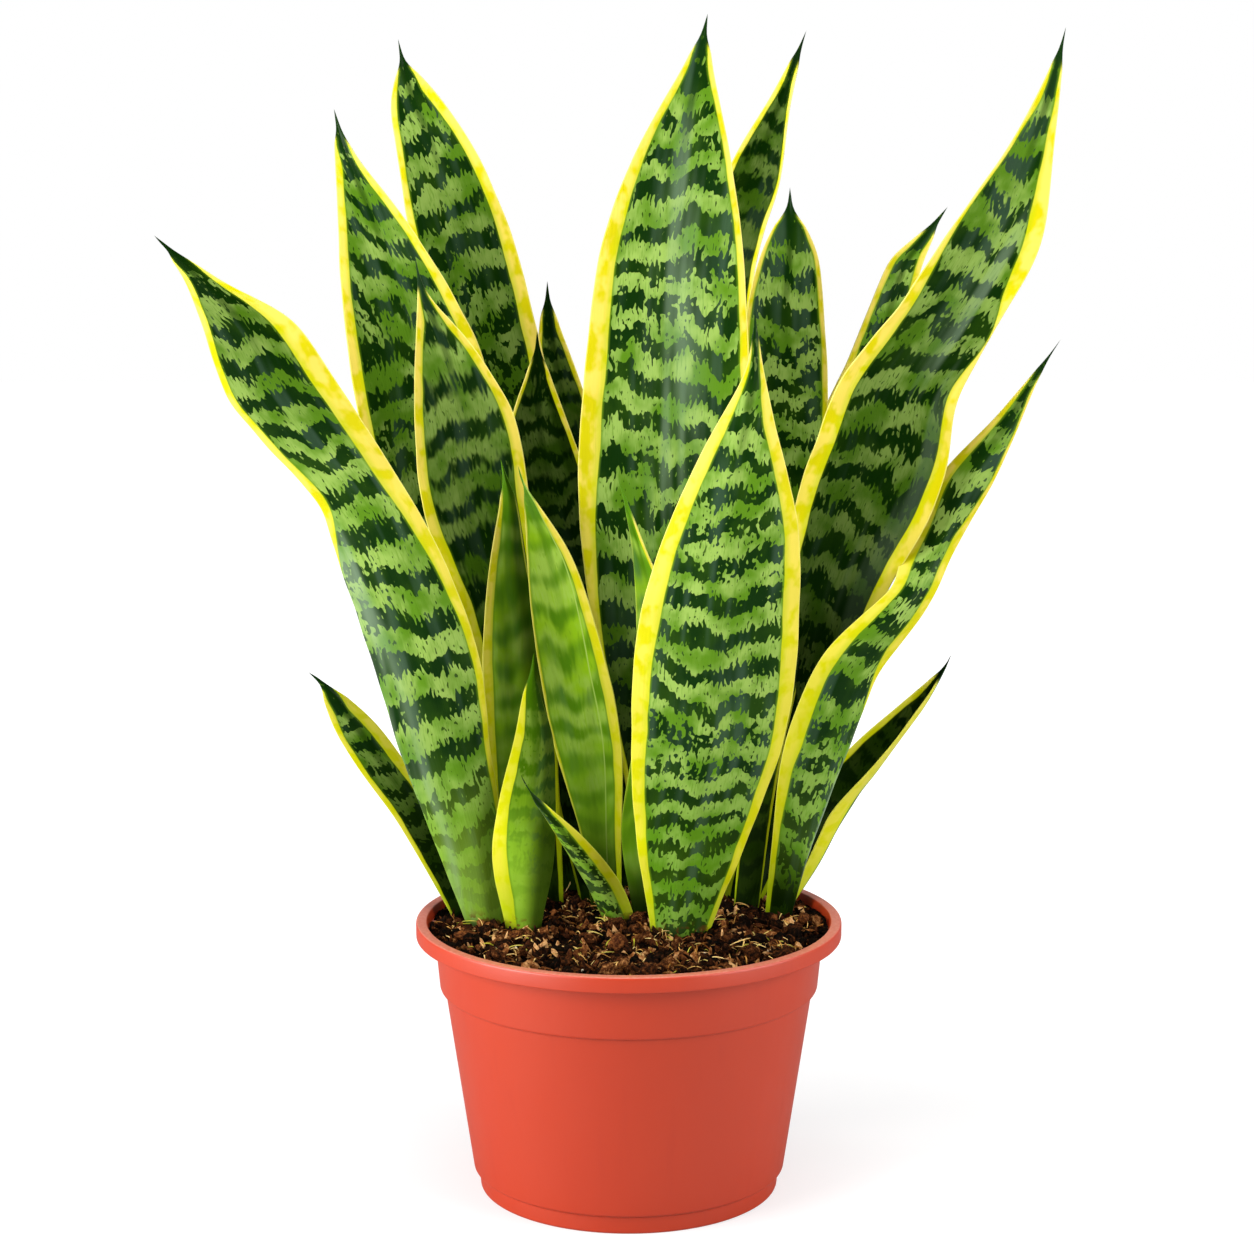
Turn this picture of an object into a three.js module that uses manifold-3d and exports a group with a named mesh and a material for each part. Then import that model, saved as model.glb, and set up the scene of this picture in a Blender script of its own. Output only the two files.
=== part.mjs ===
// A snake plant in a plastic nursery pot, in millimetres with +Z up.
// The origin is the middle of the pot's underside, which stands on the floor.
import * as THREE from 'three';
import { mergeVertices } from 'three/addons/utils/BufferGeometryUtils.js';
import Module from 'manifold-3d';

const wasm = await Module();
wasm.setup();

// Pot: a 17 cm tapered nursery pot with a turned-out rim, a collar and a low foot.
const RIM_RADIUS = 85;
const RIM_HEIGHT = 110;
const RIM_BAND = 6.3;
const RIM_ROUND = 0.9;
const LIP_WIDTH = 4.2;
const LIP_TAPER = 0.8;
const COLLAR_TOP_RADIUS = 77.6;
const COLLAR_BOTTOM_RADIUS = 75.6;
const COLLAR_BOTTOM = 82.4;
const LEDGE_RISE = 0.4;
const BODY_TOP_RADIUS = 73.6;
const BODY_BOTTOM_RADIUS = 62.6;
const FOOT_RADIUS = 60.4;
const FOOT_HEIGHT = 7;
const WALL = 1.7;
const FLOOR = 2;
const DRAIN_COUNT = 6;
const DRAIN_RADIUS = 4.5;
const DRAIN_CIRCLE = 42;
const DRAIN_SIDES = 20;
const POT_SIDES = 60;

// Soil: fills the pot to a little under the lip and holds every leaf in a socket.
const CLEARANCE = 0.3;
const SOCKET_GAP = 0.4;
const SOIL_TOP = 104.9;
const SOIL_EDGE_RISE = 2;
const SOIL_BUMP = 0.44;
const SOIL_SIDES = 48;
const SOIL_TOP_RINGS = [0.92, 0.78, 0.62, 0.45, 0.28, 0.12];

// Leaves: stiff blades, thin at the margin and thicker along the middle.
const MARGIN_THICKNESS = 0.9;
const THICKNESS_PER_WIDTH = 0.045;
const ROOT_DEPTH = 14;
const ROOT_NARROWING = 0.8;
const RINGS_PER_GAP = 2;
const ACROSS = [-1, -0.5, 0, 0.5, 1];
const CUP_POWER = 1.7;

const potPlastic = { color: 0xc8492e, roughness: 0.42, metalness: 0 };
const soilMix = { color: 0x2c1c12, roughness: 0.97, metalness: 0 };
const barkPiece = { color: 0x5a3a22, roughness: 0.9, metalness: 0 };
const leafBlade = { color: 0x4d7a32, roughness: 0.34, metalness: 0 };
const youngBlade = { color: 0x7fa83a, roughness: 0.38, metalness: 0 };

// Every leaf is a loft between its two margins. A station pairs a point on the left margin
// with one on the right, as seen from the front, from the soil up; the tip closes the blade.
// The cup is how far the middle stands off the line between the margins, as a share of the
// width: positive bulges to the front, negative is a channel that opens to the front.
const LEAVES = [
  {
    name: 'leaf_front_center', cup: 0.08,
    stations: [
      [[9, -15, 105], [31, -14, 105]],
      [[2, -27, 157], [49, -26, 156]],
      [[1, -37, 192], [60, -36, 192]],
      [[3, -47, 233], [64, -46, 233]],
      [[13, -54, 271], [63, -53, 275]],
      [[29, -58, 307], [55, -57, 309]],
      [[43, -59, 334], [49, -58, 336]],
    ],
    tip: [46, -60, 358],
  },
  {
    name: 'leaf_center_tall', cup: -0.07,
    stations: [
      [[8, 26, 105], [30, 25, 105]],
      [[-3, 20, 168], [40, 20, 168]],
      [[-15, 15, 228], [48, 15, 228]],
      [[-20, 12, 281], [49, 12, 281]],
      [[-17, 8, 330], [47, 8, 330]],
      [[-10, 6, 379], [44, 6, 377]],
      [[5, 3, 417], [38, 3, 416]],
      [[21, 2, 445], [32, 2, 445]],
    ],
    tip: [30, 1, 464],
  },
  {
    name: 'leaf_back_right', cup: -0.15,
    stations: [
      [[10, 52, 105], [27, 50, 105]],
      [[9, 67, 228], [44, 66, 228]],
      [[16, 82, 310], [49, 81, 312]],
      [[29, 92, 368], [53, 90, 366]],
      [[43, 99, 408], [63, 96, 400]],
      [[58, 103, 433], [67, 101, 429]],
    ],
    tip: [74, 106, 462],
  },
  {
    name: 'leaf_behind_right', cup: -0.1,
    stations: [
      [[20, 43, 105], [36, 43, 105]],
      [[38, 52, 190], [70, 51, 190]],
      [[44, 55, 255], [79, 53, 255]],
      [[47, 55, 313], [81, 53, 315]],
      [[48, 54, 349], [79, 53, 349]],
      [[54, 55, 373], [76, 54, 372]],
      [[63, 57, 391], [67, 56, 391]],
    ],
    tip: [65, 57, 398],
  },
  {
    name: 'leaf_right_tall', cup: -0.1,
    stations: [
      [[39, 38, 105], [55, 40, 105]],
      [[48, 35, 154], [76, 37, 152]],
      [[55, 29, 207], [90, 32, 196]],
      [[62, 23, 251], [104, 25, 238]],
      [[69, 18, 285], [119, 19, 267]],
      [[75, 15, 303], [126, 17, 289]],
      [[82, 13, 322], [129, 14, 314]],
      [[104, 8, 352], [143, 9, 344]],
      [[125, 4, 384], [159, 5, 376]],
      [[147, 1, 417], [163, 2, 413]],
      [[160, 0, 443], [165, 0, 441]],
    ],
    tip: [166, -1, 459],
  },
  {
    name: 'leaf_behind_right_tall', cup: -0.15,
    stations: [
      [[33, 54, 105], [48, 50, 105]],
      [[50, 63, 188], [73, 62, 186]],
      [[62, 69, 254], [91, 67, 252]],
      [[75, 67, 295], [104, 65, 291]],
      [[90, 63, 329], [113, 62, 327]],
      [[100, 64, 354], [117, 64, 355]],
      [[107, 65, 369], [120, 65, 367]],
      [[117, 67, 378], [124, 66, 377]],
    ],
    tip: [130, 68, 390],
  },
  {
    name: 'leaf_right_leaning', cup: 0.12,
    stations: [
      [[55, 13, 105], [66, 17, 106]],
      [[58, 8, 145], [74, 15, 136]],
      [[62, 6, 179], [88, 16, 174]],
      [[77, 8, 215], [101, 18, 207]],
      [[95, 14, 232], [117, 21, 228]],
      [[106, 19, 241], [124, 23, 240]],
      [[111, 24, 249], [129, 26, 251]],
      [[116, 29, 259], [136, 28, 264]],
      [[124, 29, 283], [146, 28, 282]],
      [[145, 27, 307], [155, 28, 303]],
      [[160, 26, 325], [163, 26, 324]],
    ],
    tip: [171, 25, 339],
  },
  {
    name: 'leaf_right_hidden', cup: 0.1,
    stations: [
      [[43, 26, 105], [53, 27, 105]],
      [[46, 26, 144], [58, 27, 145]],
      [[51, 25, 175], [63, 26, 176]],
      [[61, 24, 194], [67, 25, 195]],
    ],
    tip: [69, 24, 212],
  },
  {
    name: 'leaf_right_low', cup: -0.5,
    stations: [
      [[57, 31, 105], [63, 23, 105]],
      [[71, 35, 129], [74, 22, 130]],
      [[83, 38, 161], [83, 21, 149]],
      [[94, 39, 174], [95, 23, 162]],
      [[106, 38, 185], [107, 27, 175]],
      [[118, 36, 196], [117, 30, 188]],
      [[125, 34, 203], [125, 32, 199]],
    ],
    tip: [131, 33, 211],
  },
  {
    name: 'leaf_left_low', cup: 0.08,
    stations: [
      [[-71, 14, 105], [-61, 20, 105]],
      [[-84, 12, 130], [-70, 19, 133]],
      [[-95, 9, 150], [-79, 16, 154]],
      [[-107, 6, 168], [-88, 13, 168]],
      [[-117, 4, 186], [-102, 10, 188]],
      [[-123, 3, 203], [-118, 6, 203]],
    ],
    tip: [-127, 4, 209],
  },
  {
    name: 'leaf_far_left', cup: 0.1,
    stations: [
      [[-65, 1, 106], [-50, 6, 103]],
      [[-75, -5, 136], [-50, 1, 141]],
      [[-88, -12, 175], [-55, -9, 186]],
      [[-99, -20, 216], [-58, -17, 219]],
      [[-112, -27, 261], [-73, -26, 263]],
      [[-119, -31, 282], [-87, -32, 290]],
      [[-134, -35, 300], [-98, -37, 309]],
      [[-151, -40, 323], [-111, -43, 331]],
      [[-157, -45, 345], [-125, -47, 351]],
      [[-164, -49, 366], [-149, -50, 365]],
    ],
    tip: [-174, -52, 382],
  },
  {
    name: 'leaf_left_tall', cup: -0.1,
    stations: [
      [[-52, 44, 105], [-36, 48, 105]],
      [[-71, 45, 164], [-41, 49, 167]],
      [[-88, 43, 232], [-45, 47, 235]],
      [[-104, 41, 281], [-54, 44, 287]],
      [[-111, 40, 320], [-58, 44, 328]],
      [[-115, 39, 358], [-70, 41, 355]],
      [[-116, 40, 390], [-90, 41, 387]],
      [[-117, 42, 414], [-109, 41, 412]],
    ],
    tip: [-117, 43, 429],
  },
  {
    name: 'leaf_left_middle', cup: -0.1,
    stations: [
      [[-44, 32, 105], [-27, 35, 105]],
      [[-55, 28, 168], [-29, 31, 170]],
      [[-65, 20, 225], [-32, 23, 227]],
      [[-81, 13, 271], [-39, 17, 276]],
      [[-84, 9, 308], [-46, 12, 312]],
      [[-83, 7, 340], [-63, 9, 340]],
      [[-82, 6, 359], [-78, 7, 358]],
    ],
    tip: [-83, 6, 373],
  },
  {
    name: 'leaf_back_left_tall', cup: -0.1,
    stations: [
      [[-30, 52, 105], [-13, 55, 105]],
      [[-45, 60, 187], [-12, 62, 187]],
      [[-66, 69, 270], [-23, 72, 274]],
      [[-80, 74, 323], [-35, 77, 327]],
      [[-89, 80, 370], [-48, 82, 377]],
      [[-95, 84, 407], [-64, 86, 414]],
      [[-98, 88, 433], [-81, 89, 438]],
      [[-95, 89, 448], [-91, 90, 449]],
    ],
    tip: [-95, 91, 458],
  },
  {
    name: 'leaf_back_small', cup: -0.1,
    stations: [
      [[-6, 60, 105], [6, 60, 105]],
      [[-18, 70, 186], [5, 70, 186]],
      [[-35, 80, 269], [-7, 79, 269]],
      [[-38, 84, 311], [-18, 84, 311]],
      [[-37, 88, 344], [-30, 88, 344]],
    ],
    tip: [-34, 90, 359],
  },
  {
    name: 'leaf_middle_dark', cup: -0.1,
    stations: [
      [[-20, 38, 105], [-5, 40, 105]],
      [[-38, 42, 190], [-3, 44, 190]],
      [[-45, 44, 265], [-12, 46, 264]],
      [[-48, 45, 302], [-24, 47, 302]],
      [[-41, 46, 325], [-32, 47, 324]],
    ],
    tip: [-37, 47, 341],
  },
  {
    name: 'leaf_young_left', cup: -0.18, young: true,
    stations: [
      [[-53, 17, 105], [-37, 20, 105]],
      [[-56, 13, 163], [-32, 16, 163]],
      [[-58, 7, 213], [-33, 10, 213]],
      [[-55, 4, 250], [-40, 6, 250]],
      [[-50, 1, 281], [-45, 2, 281]],
    ],
    tip: [-50, 1, 294],
  },
  {
    name: 'leaf_young_center', cup: -0.12, young: true,
    stations: [
      [[-15, 24, 105], [-3, 24, 105]],
      [[-19, 19, 137], [-3, 19, 137]],
      [[-30, 12, 178], [-3, 12, 179]],
      [[-38, 3, 228], [-13, 3, 228]],
      [[-40, -1, 258], [-24, -1, 259]],
      [[-41, -4, 281], [-38, -4, 281]],
    ],
    tip: [-43, -5, 292],
  },
  {
    name: 'leaf_front_left_small', cup: 0.16, young: true,
    stations: [
      [[-49, -4, 106], [-35, -2, 107]],
      [[-54, -9, 136], [-30, -4, 134]],
      [[-51, -12, 161], [-29, -6, 161]],
      [[-45, -14, 185], [-30, -8, 185]],
      [[-41, -15, 205], [-35, -13, 205]],
    ],
    tip: [-37, -14, 220],
  },
  {
    name: 'leaf_front_small', cup: 0.18,
    stations: [
      [[-10, 9, 106], [3, 9, 105]],
      [[-16, 2, 121], [-2, 2, 121]],
      [[-24, -8, 138], [-11, -8, 137]],
      [[-31, -17, 152], [-22, -17, 151]],
      [[-38, -23, 165], [-36, -23, 165]],
    ],
    tip: [-42, -25, 174],
  },
  {
    name: 'leaf_behind_front', cup: -0.15, young: true,
    stations: [
      [[2, 17, 105], [12, 15, 105]],
      [[-3, 12, 143], [14, 10, 143]],
      [[2, 6, 181], [22, 4, 181]],
      [[3, -1, 227], [20, -3, 227]],
      [[1, -5, 261], [8, -6, 256]],
    ],
    tip: [-4, -8, 287],
  },
];

// Bark pieces that lie on the soil: place, [length, width, height] and turn in degrees.
const BARK = [
  { name: 'bark_nugget_front', at: [-4, -38], size: [8, 7, 9], turn: 10 },
  { name: 'bark_chip_front', at: [21, -52], size: [9, 5, 5], turn: 70 },
  { name: 'bark_chip_left', at: [-64, -22], size: [11, 7, 4.5], turn: 15 },
  { name: 'bark_chip_mid_left', at: [-44, -20], size: [10, 6, 5], turn: 120 },
  { name: 'bark_chip_right', at: [70, 0], size: [11, 5, 5], turn: 100 },
];

// Lays a mesh out under its node name with its own material.
function named(name, geometry, look) {
  geometry.computeVertexNormals();
  const mesh = new THREE.Mesh(geometry, new THREE.MeshStandardMaterial(look));
  mesh.name = name;
  return mesh;
}

// Turns a closed geometry into a solid that can be joined and cut.
function toSolid(geometry) {
  const bare = geometry.clone();
  bare.deleteAttribute('normal');
  bare.deleteAttribute('uv');
  const merged = mergeVertices(bare, 1e-4);
  const vertProperties = new Float32Array(merged.attributes.position.array);
  const triVerts = new Uint32Array(merged.index.array);
  return new wasm.Manifold(new wasm.Mesh({ numProp: 3, vertProperties, triVerts }));
}

// Brings a solid back as a geometry.
function toGeometry(solid) {
  const mesh = solid.getMesh();
  const geometry = new THREE.BufferGeometry();
  geometry.setAttribute('position', new THREE.BufferAttribute(new Float32Array(mesh.vertProperties), 3));
  geometry.setIndex(new THREE.BufferAttribute(new Uint32Array(mesh.triVerts), 1));
  return geometry;
}

// Turns an [radius, height] outline about the Z axis; it starts and ends on the axis.
function turned(outline, sides) {
  const points = outline.map(([radius, height]) => new THREE.Vector2(radius, height));
  return new THREE.LatheGeometry(points, sides).rotateX(Math.PI / 2);
}

// The ledge at the collar's lower edge, as [radius, height] points.
function collarLedge(inset) {
  return [
    [BODY_TOP_RADIUS - inset, COLLAR_BOTTOM + inset],
    [COLLAR_BOTTOM_RADIUS - inset, COLLAR_BOTTOM + LEDGE_RISE + inset],
  ];
}

// The inside of the pot from the floor's edge up to the lip, drawn in by a gap.
function insideOutline(gap) {
  return [
    [FOOT_RADIUS - WALL - gap, FLOOR + gap],
    [FOOT_RADIUS - WALL - gap, FOOT_HEIGHT + WALL + gap],
    [BODY_BOTTOM_RADIUS - WALL - gap, FOOT_HEIGHT + 2 * WALL + gap],
    ...collarLedge(WALL + gap),
    [COLLAR_TOP_RADIUS - WALL - gap, RIM_HEIGHT - RIM_BAND + gap],
    [COLLAR_TOP_RADIUS - gap, RIM_HEIGHT - RIM_BAND + WALL + gap],
    [RIM_RADIUS - LIP_WIDTH - LIP_TAPER - gap, RIM_HEIGHT - RIM_BAND + WALL + CLEARANCE + gap],
  ];
}

// Pot shell: foot, tapered body, collar and turned-out rim, with drain holes in the floor.
function makePot() {
  const outside = [
    [0, 0],
    [FOOT_RADIUS, 0],
    [FOOT_RADIUS, FOOT_HEIGHT],
    [BODY_BOTTOM_RADIUS, FOOT_HEIGHT + 1],
    ...collarLedge(0),
    [COLLAR_TOP_RADIUS, RIM_HEIGHT - RIM_BAND],
    [RIM_RADIUS - RIM_ROUND, RIM_HEIGHT - RIM_BAND],
    [RIM_RADIUS, RIM_HEIGHT - RIM_BAND + RIM_ROUND],
    [RIM_RADIUS, RIM_HEIGHT - RIM_ROUND],
    [RIM_RADIUS - RIM_ROUND, RIM_HEIGHT],
    [RIM_RADIUS - LIP_WIDTH, RIM_HEIGHT],
  ];
  const inside = [...insideOutline(0).reverse(), [0, FLOOR]];
  let solid = toSolid(turned([...outside, ...inside], POT_SIDES));
  for (let i = 0; i < DRAIN_COUNT; i += 1) {
    const angle = (2 * Math.PI * i) / DRAIN_COUNT;
    const drill = new THREE.CylinderGeometry(DRAIN_RADIUS, DRAIN_RADIUS, 4 * FLOOR, DRAIN_SIDES);
    drill.rotateX(Math.PI / 2);
    drill.translate(DRAIN_CIRCLE * Math.cos(angle), DRAIN_CIRCLE * Math.sin(angle), 0);
    solid = solid.subtract(toSolid(drill));
  }
  return named('pot', toGeometry(solid), potPlastic);
}

// Height of the loose soil surface: gentle bumps, a little higher towards the wall.
function soilHeight(x, y) {
  const edge = (Math.hypot(x, y) / COLLAR_TOP_RADIUS) ** 4;
  const waves = Math.sin(x / 9 + 1) * Math.cos(y / 8) + 0.6 * Math.sin(x / 5 - y / 6);
  return SOIL_TOP + SOIL_EDGE_RISE * edge + SOIL_BUMP * waves * (1 - edge / 2);
}

// Soil: fills the pot's inside with a gap, and is cut away round every leaf's root.
function makeSoil() {
  const wall = insideOutline(CLEARANCE);
  const edgeRadius = wall[wall.length - 1][0];
  const top = SOIL_TOP_RINGS.map((share) => [share * edgeRadius, SOIL_TOP]);
  const outline = [[0, FLOOR + CLEARANCE], ...wall, ...top, [0, SOIL_TOP]];
  const geometry = turned(outline, SOIL_SIDES);
  const position = geometry.attributes.position;
  for (let i = 0; i < position.count; i += 1) {
    const x = position.getX(i);
    const y = position.getY(i);
    const onTop = position.getZ(i) === Math.fround(SOIL_TOP) || Math.hypot(x, y) > edgeRadius - 0.01;
    if (onTop) position.setZ(i, Math.max(soilHeight(x, y), position.getZ(i)));
  }
  let solid = toSolid(geometry);
  for (const leaf of LEAVES) {
    solid = solid.subtract(toSolid(leafGeometry(leaf, SOCKET_GAP)));
  }
  return named('soil', toGeometry(solid), soilMix);
}

// A station's two margin points pushed down into the soil along the blade.
function rootStation([left, right], [nextLeft, nextRight], depth) {
  const from = new THREE.Vector3(...left).add(new THREE.Vector3(...right)).multiplyScalar(0.5);
  const to = new THREE.Vector3(...nextLeft).add(new THREE.Vector3(...nextRight)).multiplyScalar(0.5);
  const down = from.clone().sub(to).normalize().multiplyScalar(depth);
  return [left, right].map((point) => {
    const side = new THREE.Vector3(...point).sub(from).multiplyScalar(ROOT_NARROWING);
    return from.clone().add(down).add(side);
  });
}

// One closed ring of points round the blade: front face left to right, then the back.
// The thickness is laid off square to the cupped middle line, and the margins move outwards
// along it when the ring is grown.
function bladeRing(left, right, along, cup, grow) {
  const middle = left.clone().add(right).multiplyScalar(0.5);
  const across = right.clone().sub(left);
  const width = across.length();
  across.normalize();
  const facing = across.clone().cross(along).normalize();
  const faces = [1, -1].map((side) => ACROSS.map((share) => {
    const crown = 1 - Math.abs(share) ** CUP_POWER;
    const slope = -2 * cup * CUP_POWER * Math.sign(share) * Math.abs(share) ** (CUP_POWER - 1);
    const unit = 1 / Math.hypot(1, slope);
    const thickness = MARGIN_THICKNESS + THICKNESS_PER_WIDTH * width * crown;
    const off = side * (thickness / 2 + grow);
    const reach = (share * width) / 2 + (grow * share - off * slope) * unit;
    const lift = cup * width * crown + (grow * share * slope + off) * unit;
    return middle.clone().addScaledVector(across, reach).addScaledVector(facing, lift);
  }));
  return [...faces[0], ...faces[1].reverse()];
}

// A closed skin over rings of equal length: a flat end across the first, a point past the last.
function loft(rings, tip) {
  const sides = rings[0].length;
  const index = [];
  for (let k = 0; k + 1 < sides / 2; k += 1) {
    const across = sides - 1 - k;
    index.push(k, across - 1, k + 1, k, across, across - 1);
  }
  for (let k = 0; k < sides; k += 1) {
    const next = (k + 1) % sides;
    for (let r = 0; r + 1 < rings.length; r += 1) {
      const low = r * sides;
      const high = low + sides;
      index.push(low + k, high + next, high + k, low + k, low + next, high + next);
    }
    const last = (rings.length - 1) * sides;
    index.push(last + k, last + next, rings.length * sides);
  }
  const geometry = new THREE.BufferGeometry().setFromPoints([...rings.flat(), tip]);
  geometry.setIndex(index);
  return geometry;
}

// A whole leaf, from its root in the soil to its pointed tip, grown all round by a margin.
function leafGeometry(leaf, grow = 0) {
  const root = rootStation(leaf.stations[0], leaf.stations[1], ROOT_DEPTH);
  const tip = new THREE.Vector3(...leaf.tip);
  const margins = [0, 1].map((side) => {
    const points = leaf.stations.map((station) => new THREE.Vector3(...station[side]));
    return new THREE.CatmullRomCurve3([root[side], ...points, tip], false, 'centripetal');
  });
  const count = (leaf.stations.length + 1) * RINGS_PER_GAP;
  const at = (step) => margins.map((curve) => curve.getPoint(step / count));
  const middleAt = (step) => at(step)[0].add(at(step)[1]).multiplyScalar(0.5);
  const rings = [];
  for (let step = 0; step < count; step += 1) {
    const along = middleAt(step + 1).sub(middleAt(Math.max(step - 1, 0))).normalize();
    const [left, right] = at(step).map((point) => point.addScaledVector(along, step === 0 ? -grow : 0));
    rings.push(bladeRing(left, right, along, leaf.cup, grow));
  }
  return loft(rings, tip);
}

// A rough, slightly flattened lump of bark that rests on the soil.
function makeBark({ name, at: [x, y], size: [length, width, height], turn }) {
  const geometry = new THREE.IcosahedronGeometry(0.5, 1);
  geometry.scale(length, width, height);
  geometry.rotateZ(THREE.MathUtils.degToRad(turn));
  geometry.translate(x, y, soilHeight(x, y) + height / 2 + CLEARANCE);
  return named(name, geometry, barkPiece);
}

const plant = new THREE.Group();
plant.add(makePot());
plant.add(makeSoil());
for (const leaf of LEAVES) {
  plant.add(named(leaf.name, leafGeometry(leaf), leaf.young ? youngBlade : leafBlade));
}
for (const piece of BARK) {
  plant.add(makeBark(piece));
}

export default plant;
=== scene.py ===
"""A snake plant in a terracotta-coloured nursery pot: the finished surfaces, in metres, +Z up."""

import bpy
import numpy as np
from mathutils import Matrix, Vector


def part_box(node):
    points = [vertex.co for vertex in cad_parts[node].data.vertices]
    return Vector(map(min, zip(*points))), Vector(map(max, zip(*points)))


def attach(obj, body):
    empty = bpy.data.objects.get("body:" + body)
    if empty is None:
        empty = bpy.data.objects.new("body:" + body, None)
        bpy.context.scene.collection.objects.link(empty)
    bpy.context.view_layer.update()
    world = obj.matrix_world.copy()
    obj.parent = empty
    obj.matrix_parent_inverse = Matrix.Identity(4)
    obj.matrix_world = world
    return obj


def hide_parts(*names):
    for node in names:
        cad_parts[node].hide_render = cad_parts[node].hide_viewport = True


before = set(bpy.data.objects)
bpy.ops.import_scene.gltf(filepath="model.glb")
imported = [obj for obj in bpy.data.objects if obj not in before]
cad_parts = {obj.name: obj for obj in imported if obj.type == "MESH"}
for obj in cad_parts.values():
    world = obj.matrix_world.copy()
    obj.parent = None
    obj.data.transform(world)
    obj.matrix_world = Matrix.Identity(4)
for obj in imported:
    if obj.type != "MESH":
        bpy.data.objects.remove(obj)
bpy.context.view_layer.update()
random = np.random.default_rng(21)

# ------------------------------------------------------------
# Pot. One thin-walled moulding in satin polypropylene coloured like terracotta: a low foot, a
# tapered body, a soft step out to a collar, and a turned-out rim whose flat lip catches light.
RIM_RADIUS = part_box("pot")[1].x
RIM_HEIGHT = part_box("pot")[1].z
RIM_BAND = 0.0063
LIP_WIDTH = 0.0042
LIP_TAPER = 0.0008
COLLAR_TOP_RADIUS = 0.0776
COLLAR_BOTTOM_RADIUS = 0.0756
COLLAR_BOTTOM = 0.0824
LEDGE_RISE = 0.0004
BODY_TOP_RADIUS = 0.0736
BODY_BOTTOM_RADIUS = 0.0626
FOOT_RADIUS = 0.0604
FOOT_HEIGHT = 0.007
FOOT_DRAFT = 0.0004
FOOT_LEDGE_RISE = 0.001
WALL = 0.0017
INNER_FILLET = 0.001
STEP_FILLET = 0.0008
INNER_LIP_RISE = 0.0003
CORNER_POINTS = 7
FLOOR_THICKNESS = 0.002
DRAIN_HOLES = 6
DRAIN_RADIUS = 0.0045
DRAIN_CIRCLE = 0.042
DRAIN_SIDES = 32
POT_SEGMENTS = 160


def rounded(corners):
    """The outline through [radius, height, fillet] corners. Each corner is rounded by the quadratic
    curve that leaves one fillet length before it, bends towards it and ends one after."""
    corners = np.array(corners, float)
    points = [corners[:1, :2]]
    for before, corner, after in zip(corners, corners[1:], corners[2:]):
        start = before[:2] - corner[:2]
        end = after[:2] - corner[:2]
        start *= min(corner[2] / np.hypot(*start), 0.5)
        end *= min(corner[2] / np.hypot(*end), 0.5)
        t = np.linspace(0, 1, CORNER_POINTS if corner[2] > 0 else 1)[:, None]
        points.append(corner[:2] + start * (1 - t) ** 2 + end * t ** 2)
    return np.concatenate([*points, corners[-1:, :2]])


def grid_faces(rows, columns):
    """Quads between neighbouring rows of points, where each row is a ring."""
    row, column = np.mgrid[0:rows - 1, 0:columns]
    left = row * columns + column
    right = row * columns + (column + 1) % columns
    return np.stack([left, right, right + columns, left + columns], -1).reshape(-1, 4)


def closed_faces(rows, columns):
    """Faces of a closed body whose points are rows and then two hubs: quads between the rows, and
    triangles from the first row to the first hub and from the last to the last."""
    hub = rows * columns
    one = np.arange(columns)
    two = (one + 1) % columns
    first = np.stack([np.full(columns, hub), two, one], -1)
    last = np.stack([np.full(columns, hub + 1), hub - columns + one, hub - columns + two], -1)
    return grid_faces(rows, columns), first, last


def new_piece(name, points, *faces, smooth=True):
    """A mesh object at the origin from points (n, 3) and arrays of three- or four-sided faces."""
    mesh = bpy.data.meshes.new(name)
    mesh.from_pydata(points.tolist(), [], [face for part in faces for face in part.tolist()])
    mesh.polygons.foreach_set("use_smooth", np.full(len(mesh.polygons), smooth))
    piece = bpy.data.objects.new(name, mesh)
    bpy.context.scene.collection.objects.link(piece)
    return piece


def finish_piece(piece, material, slot, *nodes):
    """Gives the piece its material, sets it on the body and hides its CAD nodes; the slot is not used."""
    piece.data.materials.append(material)
    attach(piece, "root")
    if nodes:
        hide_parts(*nodes)


def turned_shape(outline, segments):
    """A lathed solid: each [radius, height] point of the outline runs once round the Z axis. The
    first and last points lie on the axis and close the ends."""
    angle = np.linspace(0, 2 * np.pi, segments, endpoint=False)
    radius, height = outline[1:-1].T
    rings = np.stack([np.outer(radius, np.cos(angle)), np.outer(radius, np.sin(angle)),
                      np.repeat(height[:, None], segments, 1)], -1).reshape(-1, 3)
    ends = [[0, 0, outline[0, 1]], [0, 0, outline[-1, 1]]]
    return (np.concatenate([rings, ends]), *closed_faces(len(radius), segments))


def pot_inside(gap=0.0):
    """[radius, height, fillet] corners of the pot's inner wall, from the floor's edge up to the lip,
    drawn in by a gap."""
    shoulder = RIM_HEIGHT - RIM_BAND
    corners = [
        [FOOT_RADIUS - WALL, FLOOR_THICKNESS, INNER_FILLET],
        [FOOT_RADIUS - WALL, FOOT_HEIGHT + WALL, INNER_FILLET],
        [BODY_BOTTOM_RADIUS - WALL, FOOT_HEIGHT + 2 * WALL, INNER_FILLET],
        [BODY_TOP_RADIUS - WALL, COLLAR_BOTTOM + WALL, STEP_FILLET],
        [COLLAR_BOTTOM_RADIUS - WALL, COLLAR_BOTTOM + LEDGE_RISE + WALL, STEP_FILLET],
        [COLLAR_TOP_RADIUS - WALL, shoulder, STEP_FILLET],
        [COLLAR_TOP_RADIUS, shoulder + WALL, STEP_FILLET],
        [RIM_RADIUS - LIP_WIDTH - LIP_TAPER, shoulder + WALL + INNER_LIP_RISE, STEP_FILLET],
    ]
    return [[radius - gap, height + gap, fillet] for radius, height, fillet in corners]


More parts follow.
